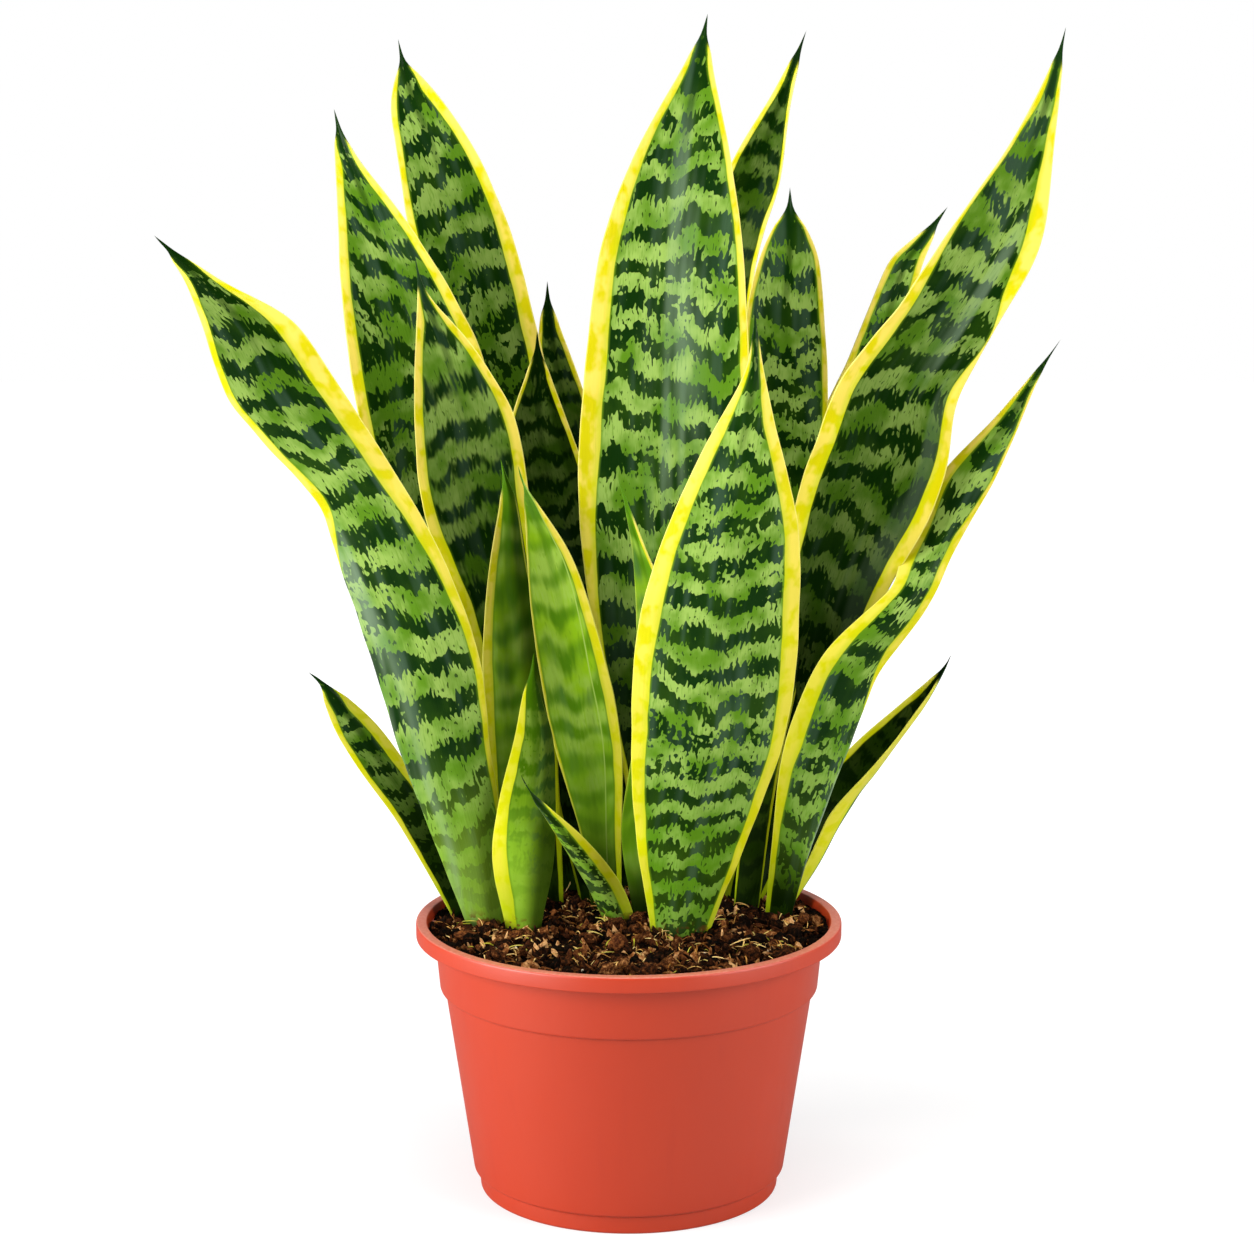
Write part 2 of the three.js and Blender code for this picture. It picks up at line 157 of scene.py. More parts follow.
def add(tree, kind, inputs=(), **settings):
    """Adds a shader node. inputs maps a socket's name or number to a value or a socket to link."""
    made = tree.nodes.new("ShaderNode" + kind)
    for key, value in settings.items():
        setattr(made, key, value)
    for key, value in dict(inputs).items():
        if isinstance(value, bpy.types.NodeSocket):
            tree.links.new(value, made.inputs[key])
        else:
            made.inputs[key].default_value = value
    return made


def calculate(tree, operation, *values):
    """One Math node on numbers or sockets."""
    return add(tree, "Math", enumerate(values), operation=operation).outputs[0]


def product(tree, first, second):
    """Two numbers or sockets multiplied."""
    return calculate(tree, "MULTIPLY", first, second)


def ramp(tree, value, low, high, to_low=0.0, to_high=1.0):
    """Maps low..high smoothly to to_low..to_high and holds the ends."""
    inputs = {"Value": value, "From Min": low, "From Max": high, "To Min": to_low, "To Max": to_high}
    return add(tree, "MapRange", inputs, interpolation_type="SMOOTHSTEP").outputs[0]


def mix(tree, share, low, high):
    """Mixes two colours by a share."""
    return add(tree, "Mix", {0: share, 6: low, 7: high}, data_type="RGBA").outputs[2]


def layered(tree, colour, *layers):
    """Lays each (share, tone) over the colour in turn."""
    for share, tone in layers:
        colour = mix(tree, share, colour, tone)
    return colour


def noise(tree, vector, scale, detail=2.0, roughness=0.5):
    """A noise value around 0.5 on a vector that is first stretched by scale (features per metre)."""
    stretched = add(tree, "Mapping", {"Vector": vector, "Scale": scale}).outputs[0]
    inputs = {"Vector": stretched, "Scale": 1.0, "Detail": detail, "Roughness": roughness}
    return add(tree, "TexNoise", inputs).outputs[0]


def paint(red, green, blue):
    """A colour as seen on screen, 0 to 255, as the linear colour that a shader takes."""
    value = np.array([red, green, blue]) / 255
    linear = np.where(value <= 0.04045, value / 12.92, ((value + 0.055) / 1.055) ** 2.4)
    return (*linear.tolist(), 1.0)


def new_material(name, **constants):
    """A material with a Principled shader, whose constant sockets are set by name."""
    material = bpy.data.materials.new(name)
    material.use_nodes = True
    shader = material.node_tree.nodes["Principled BSDF"]
    for key, value in constants.items():
        shader.inputs[key.replace("_", " ")].default_value = value
    return material, material.node_tree, shader


def roughen(tree, shader, strength, distance, height):
    """Puts a height value's relief, as deep as the distance, on the shader's normal."""
    bump = add(tree, "Bump", {"Strength": strength, "Distance": distance, "Height": height}).outputs[0]
    tree.links.new(bump, shader.inputs["Normal"])


def make_pot_plastic():
    """Satin plastic: faint cloudy colour, flow marks up the wall, a fine orange-peel skin, and a
    little pale dust where the surface faces up."""
    material, tree, shader = new_material("pot_plastic", Specular_IOR_Level=0.72)
    place = add(tree, "TexCoord").outputs["Object"]
    cloud = noise(tree, place, (22, 22, 9), detail=3)
    flow = noise(tree, place, (160, 160, 6), detail=2)
    facing = add(tree, "SeparateXYZ", {0: add(tree, "NewGeometry").outputs["Normal"]}).outputs[2]
    speckle = ramp(tree, noise(tree, place, (700, 700, 700), detail=3), 0.35, 0.7, 0.6, 1)
    dust = product(tree, ramp(tree, facing, 0.5, 0.95, 0, 0.45), speckle)
    colour = layered(
        tree, paint(187, 49, 9), (cloud, paint(197, 57, 14)),
        (ramp(tree, flow, 0.55, 0.8, 0, 0.2), paint(176, 41, 10)), (dust, paint(224, 172, 152)))
    tree.links.new(colour, shader.inputs["Base Color"])
    shine = noise(tree, place, (60, 60, 30), detail=3)
    tree.links.new(ramp(tree, shine, 0.3, 0.7, 0.40, 0.45), shader.inputs["Roughness"])
    skin = noise(tree, place, (900, 900, 900), detail=1)
    roughen(tree, shader, 0.06, 0.0002, skin)
    return material


def make_drills():
    """One round drill for each drain hole, evenly round the floor, as one piece to cut with."""
    reach = 2 * FLOOR_THICKNESS
    outline = np.array([[0, -reach], [DRAIN_RADIUS, -reach], [DRAIN_RADIUS, 1.5 * reach], [0, 1.5 * reach]])
    points, *faces = turned_shape(outline, DRAIN_SIDES)
    turn = 2 * np.pi * np.arange(DRAIN_HOLES) / DRAIN_HOLES
    middles = DRAIN_CIRCLE * np.stack([np.cos(turn), np.sin(turn), 0 * turn], -1)
    copies = (points + middles[:, None]).reshape(-1, 3)
    all_faces = [face + len(points) * k for k in range(DRAIN_HOLES) for face in faces]
    return new_piece("drain_drills", copies, *all_faces)


def make_pot():
    """The outline up the outside, over the lip and down the inside, in [radius, height, fillet]
    corners, turned round Z and drilled for the drains."""
    shoulder = RIM_HEIGHT - RIM_BAND
    outline = rounded([
        [0, 0, 0],
        [FOOT_RADIUS - FOOT_DRAFT, 0, 0.0012],
        [FOOT_RADIUS, FOOT_HEIGHT, 0.0004],
        [BODY_BOTTOM_RADIUS, FOOT_HEIGHT + FOOT_LEDGE_RISE, 0.0009],
        [BODY_TOP_RADIUS, COLLAR_BOTTOM, 0.0005],
        [COLLAR_BOTTOM_RADIUS, COLLAR_BOTTOM + LEDGE_RISE, 0.0012],
        [COLLAR_TOP_RADIUS, shoulder, 0.0005],
        [RIM_RADIUS, shoulder, 0.0007],
        [RIM_RADIUS, RIM_HEIGHT, 0.0011],
        [RIM_RADIUS - LIP_WIDTH, RIM_HEIGHT, 0.0006],
        *reversed(pot_inside()),
        [0, FLOOR_THICKNESS, 0],
    ])
    pot = new_piece("pot_moulding", *turned_shape(outline, POT_SEGMENTS))
    drills = make_drills()
    cut = pot.modifiers.new("drains", "BOOLEAN")
    cut.object = drills
    cut.operation = "DIFFERENCE"
    cut.solver = "EXACT"
    cut_mesh = bpy.data.meshes.new_from_object(pot.evaluated_get(bpy.context.evaluated_depsgraph_get()))
    pot.modifiers.clear()
    pot.data = cut_mesh
    bpy.data.objects.remove(drills)
    finish_piece(pot, make_pot_plastic(), "pot_plastic", "pot")


make_pot()

# ------------------------------------------------------------
# Leaves. Stiff upright blades that grow from short stems under the mix. Each is one thick, waxy
# blade with a rounded edge, a yellow margin and toothed cross bands, and it ends in a green spine.
RING_POINTS = 10
CUP_POWER = 1.7
KEEL_SHARPENING = 0.5
KEEL_REACH = (0.015, 0.09)
EDGE_THICKNESS = 0.0009
EDGE_ROUNDING = 0.3
THICKNESS_PER_WIDTH = 0.045
FACE_COLUMNS = 30
BLADE_STEP = 0.0022
ROW_CROWDING = 0.15
SPINE_NARROWING = 0.55
SPINE_REACH = (0.005, 0.016)
SPINE_PER_HALF_WIDTH = 1.5
TIP_THICKNESS = 0.0001
RIPPLE_HEIGHT = 0.0005
RIPPLE_PERIOD = 0.021
RIPPLE_WANDER = 0.004
WANDER_PERIOD = 0.16
FLUTTER_HEIGHT = 0.0007
FLUTTER_PERIODS = (0.062, 0.07)
SOIL_LEVEL = 0.105
# The skin's own band period in millimetres, and its pattern's step from seed to seed.
BAND_PERIOD = 15
PATTERN_STEP = 0.31
TOOTH_PERIOD = 0.0022

# Each leaf's look, with lengths in millimetres: the margins' widths on the left and right, how pale the
# base is, the band period, how far the bands are smeared along the blade, and how high above the soil
# its front is painted dark, a painted shade for the shade of the leaves before it.
ADULT_LEAVES = {
    "front_center": (8.2, 7.2, 0.06, 14, 0.0, 0),
    "center_tall": (8.2, 3.2, 0.1, 16.5, 0.0, 215),
    "back_right": (2.8, 1.7, 0.0, 15, 0.3, 680),
    "behind_right": (2.6, 2.8, 0.0, 15, 0.0, 210),
    "right_tall": (7.4, 6.8, 0.0, 17, 0.1, 376),
    "behind_right_tall": (3.6, 4.0, 0.0, 14, 0.0, 200),
    "right_leaning": (12.0, 4.2, 0.12, 15, 0.0, 40),
    "right_hidden": (2.2, 2.0, 0.2, 12, 0.4, 120),
    "right_low": (2.4, 11.0, 0.2, 12, 0.3, 260),
    "left_low": (3.9, 8.6, 0.1, 11, 0.0, 110),
    "far_left": (4.4, 9.5, 0.66, 17.0, 0.0, 0),
    "left_tall": (5.0, 6.2, 0.0, 15.5, 0.1, 350),
    "left_middle": (5.0, 5.6, 0.2, 17, 0.35, 300),
    "back_left_tall": (3.8, 6.2, 0.0, 15.5, 0.0, 430),
    "back_small": (2.4, 3.0, 0.0, 13, 0.3, 460),
    "middle_dark": (2.0, 3.6, 0.0, 13, 0.3, 500),
    "front_small": (0.8, 10.0, 0.05, 9.5, 0.0, 0),
}
YOUNG_LEAVES = {
    "young_left": (4.8, 0.8, 0.3, 15, 1.0, 110),
    "young_center": (1.0, 5.0, 0.5, 15, 0.66, 50),
    "front_left_small": (5.2, 0.6, 0.62, 11, 0.3, 0),
    "behind_front": (0.6, 2.4, 0.2, 14, 1.0, 30),
}
# How deep that painted shade is, and how much of it and of a fold's painted sheen the leaf's back has.
SHADE = 0.93
BACK_SHADE = 0.1
BACK_SHEEN = 0.5
# How much painted shade lies on a leaf's right half, where it folds away from the light.
SHADED_RIGHT_HALVES = {"young_left": 0.8, "front_left_small": 0.8, "middle_dark": 0.9, "back_small": 0.5}
# Leaves whose top bends out of the light, with painted shade: the heights in metres between which it darkens,
# and how much.
DIM_TOPS = {"far_left": (0.285, 0.360, 0.45), "front_left_small": (0.130, 0.175, 0.55)}
# Leaves whose margins stay bright down to the soil, where light reaches between the others.
LIT_MARGINS = ("center_tall", "behind_front", "right_low", "left_low")
# Painted sheen, a soft pale reflection on a fold: where it lies across the leaf (-1 left margin,
# 1 right margin), its width, the height in metres that it reaches up to, and its strength.
FOLD_SHEENS = {
    "far_left": (-0.85, 0.3, 0.285, 0.5),
    "right_leaning": (0.97, 0.05, 0.200, 0.7),
    "center_tall": (0.1, 0.28, 0.440, 0.28),
    "right_tall": (0.5, 0.4, 0.400, 0.38),
}
# A fine pale crease that runs up beside the right margin: how far inside it, in millimetres, at first.
CREASES = {"young_center": 3.6}
# Where a margin turns edge-on lower down: its side, the heights in metres between which it thins, and
# the share of its width that is left.
THINNING_MARGINS = {
    "far_left": [(-1, 0.246, 0.290, 0.0), (1, 0.225, 0.340, 0.42)],
    "center_tall": [(-1, 0.200, 0.310, 0.5)],
    "right_leaning": [(1, 0.190, 0.220, 0.1), (-1, 0.130, 0.210, 0.5)],
}
# Where a margin swells or thins part way up: its side, the height in metres, how far the change reaches
# up and down, and the factor on its width there.
MARGIN_SWELLS = {
    "front_left_small": [(-1, 0.105, 0.040, 3.4)],
    "front_small": [(1, 0.105, 0.030, 3.0)],
    "center_tall": [(-1, 0.455, 0.045, 0.42)],
    "right_tall": [(-1, 0.400, 0.052, 0.2), (1, 0.396, 0.025, 1.35), (1, 0.343, 0.018, 0.1),
                   (1, 0.308, 0.026, 0.62)],
    "right_leaning": [(1, 0.305, 0.050, 0.45), (1, 0.240, 0.022, 2.3)],
    "far_left": [(1, 0.350, 0.035, 1.25)],
}
# Where an edge bows out: its side, the height in metres, how far the bow reaches, and how far out it goes.
EDGE_BOWS = {"right_leaning": [(-1, 0.256, 0.013, 0.0040)]}
# The share of a blade's half width that its margins may take up: of these narrow leaves, of others, and
# how much more at the soil.
MARGIN_CAPS = {"left_low": 0.82, "right_low": 0.8}
MARGIN_CAP = 0.42
LOW_CAP_GAIN = 0.18
# The share of a margin's width that is left at the soil, and near the tip.
LOW_MARGIN = 0.25
HIGH_MARGIN = 0.6


def blade_rings(node):
    """The rings of points round a CAD blade, from the root up, and its tip. Every edge step down
    from the tip, the topmost point, reaches the next whole ring."""
    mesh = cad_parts[node].data
    place = np.array([vertex.co for vertex in mesh.vertices], float)
    place, merged = np.unique(place.round(7), axis=0, return_inverse=True)
    edges = merged.reshape(-1)[np.array([edge.vertices for edge in mesh.edges])]
    steps = np.full(len(place), len(place))
    steps[place[:, 2].argmax()] = 0
    for _ in range(len(place) // RING_POINTS + 1):
        nearest = steps[edges].min(1) + 1
        np.minimum.at(steps, edges.ravel(), np.repeat(nearest, 2))
    rings = [place[steps == k] for k in range(steps.max(), 0, -1)]
    return np.array([ring for ring in rings if len(ring) == RING_POINTS]), place[steps == 0][0]


def blade_frame(rings, tip):
    """Along the blade: the middle of each ring's margins, its half width as a vector from left to
    right, and the cup, which is how far the blade's middle stands off the line of its margins.
    The points of a ring pair up, front with back, in the order of their place across it."""
    middles, halves, cups = [], [], []
    side = np.array([1.0, 0.0, 0.0])
    for ring in rings:
        _, _, axes = np.linalg.svd(ring - ring.mean(0))
        side = axes[0] * np.sign(axes[0] @ side)
        pairs = ring[np.argsort(ring @ side)].reshape(-1, 2, 3).mean(1)
        middles.append((pairs[0] + pairs[-1]) / 2)
        halves.append((pairs[-1] - pairs[0]) / 2)
        cups.append(pairs[len(pairs) // 2] - middles[-1])
    zero = np.zeros(3)
    return np.array([*middles, tip]), np.array([*halves, zero]), np.array([*cups, zero])


def spline(knots, values, at):
    """The natural cubic spline through the values: its second derivatives solve the linear system
    that makes slopes meet at every inner knot, and are zero at both ends."""
    gaps = np.diff(knots)
    system = np.eye(len(knots))
    right = np.zeros_like(values)
    inner = np.arange(1, len(knots) - 1)
    system[inner, inner - 1] = gaps[:-1]
    system[inner, inner] = 2 * (gaps[:-1] + gaps[1:])
    system[inner, inner + 1] = gaps[1:]
    slopes = np.diff(values, axis=0) / gaps[:, None]
    right[inner] = 6 * np.diff(slopes, axis=0)
    bends = np.linalg.solve(system, right)
    piece = np.clip(np.searchsorted(knots, at) - 1, 0, len(gaps) - 1)
    gap = gaps[piece][:, None]
    a = (knots[piece + 1] - at)[:, None] / gap
    b = 1 - a
    curve = ((a ** 3 - a) * bends[piece] + (b ** 3 - b) * bends[piece + 1]) * gap ** 2 / 6
    return a * values[piece] + b * values[piece + 1] + curve


def wave_noise(at, period, seed):
    """A smooth wandering value between -1 and 1: three sine waves of unlike lengths and phases."""
    phases = np.random.default_rng(seed).uniform(0, 2 * np.pi, 3)
    turns = 2 * np.pi * at / period
    return (np.sin(turns + phases[0]) + np.sin(1.7 * turns + phases[1]) + np.sin(2.9 * turns + phases[2])) / 3


def smooth_step(value, low, high):
    """0 below low, 1 above high and a smooth S between them."""
    t = np.clip((value - low) / (high - low), 0, 1)
    return t * t * (3 - 2 * t)


def hill(value, middle, reach):
    """A bell curve, exp(-((value - middle) / reach) ** 2): 1 at the middle, a third at the reach."""
    return np.exp(-((value - middle) / reach) ** 2)


def set_vectors(piece, name, *values):
    """Stores three numbers for each point of the piece, one from each array."""
    attribute = piece.data.attributes.new(name, "FLOAT_VECTOR", "POINT")
    attribute.data.foreach_set("vector", np.stack(values, -1).astype(np.float32).ravel())


def make_leaf(name, look, seed, material, slot):
    """A blade on a grid: u runs across from margin to margin as minus the cosine of an angle, so
    that the points crowd where the edge rounds over, and s runs up the length. The middle surface
    is middle + u * half width + cup * (1 - |u| ** sharpness), where the sharpness falls towards the
    tip and makes a keel there. A bowed edge, long ripples and a fluttering rim are added to it. Both
    faces stand half the thickness off it along its normal, and the thickness closes to nothing at the
    margins and the tip."""
    node = "leaf_" + name
    rings, tip = blade_rings(node)
    middles, halves, cups = blade_frame(rings, tip)
    knots = np.concatenate([[0], np.cumsum(np.linalg.norm(np.diff(middles, axis=0), axis=1))])
    length = knots[-1]
    share = np.linspace(0, 1, int(length / BLADE_STEP) + 1)[:-1]
    s = length * (share + ROW_CROWDING * share * (1 - share))
    to_tip = length - s
    middle, half, cup = (spline(knots, values, s) for values in (middles, halves, cups))
    half *= (1 - SPINE_NARROWING * (1 - smooth_step(to_tip, *SPINE_REACH)))[:, None]
    half_width = np.linalg.norm(half, axis=1)

    angle = np.linspace(0, np.pi, FACE_COLUMNS + 1)
    u = -np.cos(angle)
    sharpness = CUP_POWER - KEEL_SHARPENING * (1 - smooth_step(to_tip, *KEEL_REACH))
    crown = 1 - np.abs(u) ** sharpness[:, None]
    surface = middle[:, None] + half[:, None] * u[:, None] + cup[:, None] * crown[..., None]
    for side, bow_height, bow_reach, bow in EDGE_BOWS.get(name, ()):
        bowed = bow * hill(surface[..., 2], bow_height, bow_reach) * np.clip(u * side, 0, 1) ** 3
        surface = surface + (side * half / half_width[:, None])[:, None] * bowed[..., None]
    normal = np.cross(np.gradient(surface, axis=1), np.gradient(surface, axis=0))
    normal /= np.linalg.norm(normal, axis=2, keepdims=True)
    across = half_width[:, None] * u
    wander = RIPPLE_WANDER * wave_noise(s, WANDER_PERIOD, seed)[:, None]
    ripple = RIPPLE_HEIGHT * wave_noise(across + wander, RIPPLE_PERIOD, seed + 1)
    ripple *= smooth_step(half_width, 0.004, 0.02)[:, None] * crown
    left_edge = wave_noise(s, FLUTTER_PERIODS[0], seed + 2)[:, None]
    right_edge = wave_noise(s, FLUTTER_PERIODS[1], seed + 3)[:, None]
    flutter = np.where(u < 0, left_edge, right_edge)
    flutter *= FLUTTER_HEIGHT * np.abs(u) ** 3 * smooth_step(half_width, 0.006, 0.02)[:, None]
    surface = surface + normal * (ripple + flutter)[..., None]
    full = EDGE_THICKNESS + 2 * THICKNESS_PER_WIDTH * half_width[:, None] * (1 - np.abs(u) ** CUP_POWER)
    slim = np.minimum(full, SPINE_PER_HALF_WIDTH * half_width[:, None] + TIP_THICKNESS)
    offset = normal * (slim * np.sin(angle) ** EDGE_ROUNDING / 2)[..., None]
    front = surface + offset
    back = surface - offset
    loop = np.concatenate([front, back[:, -2:0:-1]], axis=1)
    rows, columns = loop.shape[:2]
    points = np.concatenate([loop.reshape(-1, 3), [middle[0], tip]])
    piece = new_piece("blade_" + name, points, *closed_faces(rows, columns))

    def round_loop(values, on_back=1.0):
        """Spreads a value over the front face's grid and the back's, and adds the root's and tip's."""
        values = np.broadcast_to(values, across.shape)
        looped = np.concatenate([values, on_back * values[:, -2:0:-1]], axis=1).ravel()
        return np.concatenate([looped, [looped[:columns].mean(), looped[-columns:].mean()]])

    left, right, pale, period, smear, shade_height = look
    above_soil = middle[:, 2] - SOIL_LEVEL
    width = np.where(u < 0, left, right) / 1000 * np.ones_like(across)
    width *= (LOW_MARGIN + (1 - LOW_MARGIN) * np.clip(2 * above_soil / length, 0, 1))[:, None]
    for side, low, high, share_left in THINNING_MARGINS.get(name, ()):
        thinned = share_left + (1 - share_left) * smooth_step(middle[:, 2], low, high)
        width *= np.where(u * side > 0, thinned[:, None], 1)
    for side, swell_height, swell_reach, factor in MARGIN_SWELLS.get(name, ()):
        swell = 1 + (factor - 1) * hill(middle[:, 2], swell_height, swell_reach)
        width *= np.where(u * side > 0, swell[:, None], 1)
    width *= (HIGH_MARGIN + (1 - HIGH_MARGIN) * smooth_step(to_tip, 0.03, 0.15))[:, None]
    cap = MARGIN_CAPS.get(name, MARGIN_CAP) + LOW_CAP_GAIN * (1 - smooth_step(above_soil, 0.03, 0.09))
    width = np.minimum(width, (cap * half_width)[:, None]) * smooth_step(to_tip, 0.004, 0.024)[:, None]
    edge = half_width[:, None] * (1 - np.abs(u))
    set_vectors(piece, "blade", round_loop(across), round_loop(s[:, None] / period * BAND_PERIOD),
                round_loop(seed * PATTERN_STEP))
    set_vectors(piece, "reach", round_loop(edge - width), round_loop(to_tip[:, None]),
                round_loop(above_soil[:, None]))
    set_vectors(piece, "trim", round_loop(edge), round_loop(width), round_loop(pale))

    # Painted shade: the front is painted darker up to its shade height above the soil, on a right half that
    # folds away, and on a top that bends out of the light.
    high = max(shade_height, 1) / 1000
    shade = SHADE * (1 - smooth_step(above_soil, 0.2 * high, high))[:, None]
    shade = np.maximum(shade, SHADED_RIGHT_HALVES.get(name, 0) * smooth_step(u, -0.1, 0.6))
    dim_from, dim_to, dimness = DIM_TOPS.get(name, (1, 2, 0))
    shade = np.maximum(shade, dimness * smooth_step(middle[:, 2], dim_from, dim_to)[:, None])
    crease = 1.0
    if name in CREASES:
        inwards = CREASES[name] / 1000 * (1 - smooth_step(above_soil, 0.09, 0.17))
        crease = np.where(u > 0, edge - width - inwards[:, None], 1)
    set_vectors(piece, "smear_shade_crease", round_loop(smear), round_loop(shade, BACK_SHADE), round_loop(crease))
    # Painted sheen: a pale reflection on a fold, stored with the margins' painted shade.
    place, spread, top, strength = FOLD_SHEENS.get(name, (0, 1, 0, 0))
    below_top = 1 - smooth_step(middle[:, 2], top - 0.03, top)
    fold_sheen = strength * hill(u, place, spread) * below_top[:, None]
    # Painted shade on the margins low down, except on leaves whose margins light reaches.
    low_down = 1 - smooth_step(above_soil, 0.07, 0.16)
    margin_shade = shade ** 1.5 * low_down[:, None] * (name not in LIT_MARGINS)
    set_vectors(piece, "painted_sheen_and_shade", round_loop(fold_sheen, BACK_SHEEN), round_loop(margin_shade, BACK_SHADE),
                round_loop(0))
    finish_piece(piece, material, slot, node)


def centred(tree, swing, vector, scale, **settings):
    """Noise around zero with the given swing."""
    value = noise(tree, vector, scale, **settings)
    return product(tree, calculate(tree, "SUBTRACT", value, 0.5), swing)


def total(tree, *values):
    """The sum of several values."""
    result = values[0]
    for value in values[1:]:
        result = calculate(tree, "ADD", result, value)
    return result


def three_values(tree, attribute):
    """The three numbers that a point attribute holds, as sockets."""
    stored = add(tree, "Attribute", attribute_name=attribute).outputs["Vector"]
    return add(tree, "SeparateXYZ", {0: stored}).outputs


def light_bands(tree, blade, softness, lightness):
    """How light the skin is, 0 to 1. A sine along the blade, whose phase wanders, makes bands with
    lobed edges. A fast wave across the blade, with its own wander, cuts comb-like teeth into both
    edges; patches thin the bands or break them up; dark holes and light flecks lie over them. Also
    gives the blade's place as drawn out along its length where the bands are smeared."""
    across, along, _ = three_values(tree, "blade")
    to_tip = three_values(tree, "reach")[1]
    smear = three_values(tree, "smear_shade_crease")[0]
    squeeze = add(tree, "CombineXYZ", {0: 1, 1: ramp(tree, smear, 0, 1, 1, 0.3), 2: 1}).outputs[0]
    drawn = add(tree, "VectorMath", {0: blade, 1: squeeze}, operation="MULTIPLY").outputs[0]
    wander = centred(tree, 11, blade, (18, 14, 1), detail=0)
    lobes = centred(tree, 9, blade, (92, 26, 1), detail=1)
    phase = total(tree, product(tree, along, 2 * np.pi / (BAND_PERIOD / 1000)), wander, lobes)
    wave = product(tree, calculate(tree, "SINE", phase), 1.6)

    crisp = ramp(tree, smear, 0, 1, 1, 0.1)
    comb_wander = centred(tree, 20, drawn, (150, 110, 4), detail=1)
    comb_phase = total(tree, product(tree, across, 2 * np.pi / TOOTH_PERIOD), comb_wander)
    comb_depth = ramp(tree, noise(tree, drawn, (170, 130, 9), detail=0), 0.35, 0.65, 0.1, 0.85)
    teeth = product(tree, calculate(tree, "SINE", comb_phase), comb_depth)
    ragged = centred(tree, 3.4, drawn, (620, 300, 2), detail=1)
    teeth = product(tree, total(tree, teeth, ragged), crisp)
    patches = centred(tree, 3.0, blade, (50, 55, 1.5), detail=1)
    broken = ramp(tree, noise(tree, blade, (17, 23, 11), detail=0), 0.54, 0.66)
    mottles = centred(tree, 10, drawn, (380, 300, 6), detail=1)
    mottles = product(tree, mottles, product(tree, broken, crisp))
    tip_shade = ramp(tree, to_tip, 0.004, 0.034, -3.6, 0)
    streaks = product(tree, centred(tree, 9, blade, (150, 16, 3), detail=2), smear)
    bands = total(tree, wave, teeth, patches, mottles, tip_shade, streaks, lightness)
    soft = total(tree, product(tree, smear, 2.2), softness)
    is_light = ramp(tree, bands, product(tree, soft, -1), soft)
    holes = ramp(tree, noise(tree, drawn, (1150, 430, 3), detail=0), 0.70, 0.75, 0, 0.85)
    kept = calculate(tree, "SUBTRACT", 1, product(tree, crisp, holes))
    flecks = ramp(tree, noise(tree, drawn, (1000, 380, 8), detail=0), 0.74, 0.79, 0, 0.7)
    flecks = product(tree, crisp, flecks)
    return calculate(tree, "MAXIMUM", product(tree, is_light, kept), flecks), drawn


